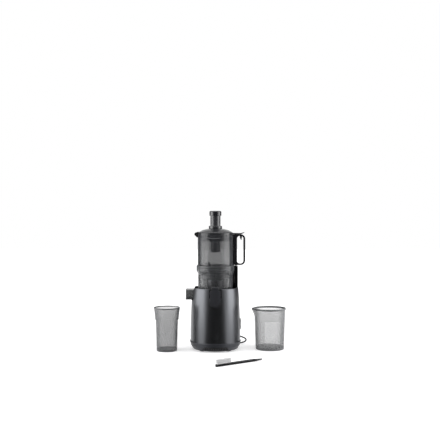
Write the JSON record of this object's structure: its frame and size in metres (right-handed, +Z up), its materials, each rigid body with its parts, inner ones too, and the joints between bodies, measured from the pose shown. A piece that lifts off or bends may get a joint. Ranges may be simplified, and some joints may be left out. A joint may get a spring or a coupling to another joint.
{
  "type": "cold press juicer",
  "caption": "Upright slow juicer: round motor base, bowl with spout and pulp duct, auger, hopper jug with strainer and lid, plunger, two cups and a brush.",
  "frame": {"origin": "middle of the motor base, on the floor it stands on", "axes": "+Z up, -Y towards the user with the juice spout, +X to the side of the handle and the switch"},
  "size_m": [0.4597, 0.5027, 0.4816],
  "materials": {
    "sleeve_metal": "satin",
    "skirt_grey": "satin",
    "black_plastic": "satin",
    "gloss_black": "gloss",
    "black_rubber": "matt",
    "case_plastic": "matt",
    "gear_nylon": "matt",
    "steel": "brushed",
    "can_metal": "satin",
    "winding": "satin",
    "board": "satin",
    "smoke_light": "gloss",
    "smoke_dark": "gloss",
    "smoke_mid": "gloss",
    "smoke_cup": "gloss",
    "auger_grey": "satin",
    "frame_grey": "satin",
    "seal_silicone": "matt",
    "grey_plastic": "satin",
    "bristle": "matt"
  },
  "bodies": {
    "base": {"base_sleeve": "sleeve_metal", "base_skirt": "skirt_grey", "bottom_cover": "black_plastic", "rubber_feet": "black_rubber", "bottom_screws": "steel", "bowl_seat": "gloss_black", "interlock_tower": "black_plastic", "tower_guide": "grey_plastic", "interlock_sensor": "board", "switch_bezel": "black_plastic", "gear_case": "case_plastic", "gear_case_cover": "case_plastic", "case_screws": "steel", "output_bearing": "steel", "shaft_seal": "black_rubber", "motor_can": "can_metal", "motor_end_cap": "can_metal", "motor_dampers": "black_rubber", "control_board": "board", "idler_axle": "steel", "strain_relief": "black_rubber", "cord": "black_rubber", "cord_coil": "black_rubber", "plug": "black_plastic", "cord_tie": "black_plastic"},
    "rocker": {"rocker_switch": "gloss_black"},
    "drive": {"output_gear": "gear_nylon", "drive_shaft": "steel"},
    "idler": {"idler_gear": "gear_nylon"},
    "rotor": {"motor_rotor": "winding", "cooling_fan": "black_plastic"},
    "bowl": {"juicing_bowl": "smoke_light", "pulp_duct": "smoke_mid", "pulp_packing": "black_rubber", "bowl_seal": "seal_silicone", "cap_pin": "steel"},
    "cap": {"juice_cap": "gloss_black", "cap_seal": "seal_silicone"},
    "coupling": {"drive_coupling": "steel"},
    "auger": {"auger": "auger_grey", "auger_core": "steel"},
    "jug": {"hopper_jug": "smoke_dark", "jug_handle": "gloss_black", "interlock_pins": "grey_plastic", "jug_hinge": "gloss_black", "hinge_pin": "steel", "strainer_frame": "frame_grey", "strainer_screen": "steel", "strainer_ring": "steel", "jug_gasket": "seal_silicone"},
    "lid": {"hopper_lid": "smoke_dark", "lid_hinge": "gloss_black", "lid_tongue": "gloss_black"},
    "trigger": {"release_trigger": "grey_plastic"},
    "plunger": {"plunger": "black_plastic", "plunger_cap": "gloss_black"},
    "juice_cup": {"juice_cup": "smoke_cup"},
    "pulp_jug": {"pulp_jug": "smoke_light"},
    "brush": {"brush_handle": "black_plastic", "brush_bristles": "bristle"}
  },
  "joints": [
    {"name": "rocker_tilt", "type": "hinge", "parent": "base", "child": "rocker", "pos_m": [0.0816, 0, 0.088], "axis": [0, 1, 0], "range_deg": [-10, 10]},
    {"name": "drive_spin", "type": "hinge", "parent": "base", "child": "drive", "pos_m": [0, 0, 0.15], "axis": [0, 0, 1], "continuous": true},
    {"name": "idler_spin", "type": "hinge", "parent": "base", "child": "idler", "pos_m": [-0.04001, 0.0231, 0.13], "axis": [0, 0, 1], "continuous": true},
    {"name": "rotor_spin", "type": "hinge", "parent": "base", "child": "rotor", "pos_m": [-0.01262, 0.0142, 0.06], "axis": [0, 0, 1], "continuous": true},
    {"name": "bowl_lift", "type": "slide", "parent": "base", "child": "bowl", "axis": [0, 0, 1], "range_m": [0, 0.135]},
    {"name": "cap_hinge", "type": "hinge", "parent": "bowl", "child": "cap", "pos_m": [0, -0.0978, 0.221], "axis": [1, 0, 0], "range_deg": [-110, 0]},
    {"name": "coupling_spin", "type": "hinge", "parent": "bowl", "child": "coupling", "pos_m": [0, 0, 0.19], "axis": [0, 0, 1], "continuous": true},
    {"name": "jug_lift", "type": "slide", "parent": "bowl", "child": "jug", "axis": [0, 0, 1], "range_m": [0, 0.252]},
    {"name": "auger_lift", "type": "slide", "parent": "coupling", "child": "auger", "axis": [0, 0, 1], "range_m": [0, 0.1241]},
    {"name": "lid_hinge_turn", "type": "hinge", "parent": "jug", "child": "lid", "pos_m": [-0.0665, 0, 0.4], "axis": [0, 1, 0], "range_deg": [-100, 0]},
    {"name": "trigger_pull", "type": "hinge", "parent": "jug", "child": "trigger", "pos_m": [0.089, 0, 0.397], "axis": [0, 1, 0], "range_deg": [-12, 0], "stiffness_Nm_per_rad": 0.05},
    {"name": "plunger_lift", "type": "slide", "parent": "lid", "child": "plunger", "axis": [0, 0, 1], "range_m": [0, 0.098]},
    {"name": "juice_cup_lift", "type": "slide", "parent": "base", "child": "juice_cup", "axis": [0, 0, -1], "range_m": [-0.12, 0]},
    {"name": "pulp_jug_lift", "type": "slide", "parent": "base", "child": "pulp_jug", "axis": [0, 0, -1], "range_m": [-0.12, 0]},
    {"name": "brush_lift", "type": "slide", "parent": "base", "child": "brush", "axis": [0, 0, -1], "range_m": [-0.1, 0]}
  ],
  "couplings": [
    {"joint": "idler_spin", "follows": "drive_spin", "ratio": -6},
    {"joint": "rotor_spin", "follows": "drive_spin", "ratio": 30},
    {"joint": "coupling_spin", "follows": "drive_spin", "ratio": 1},
    {"joint": "auger_lift", "follows": "jug_lift", "ratio": 0.4925}
  ]
}
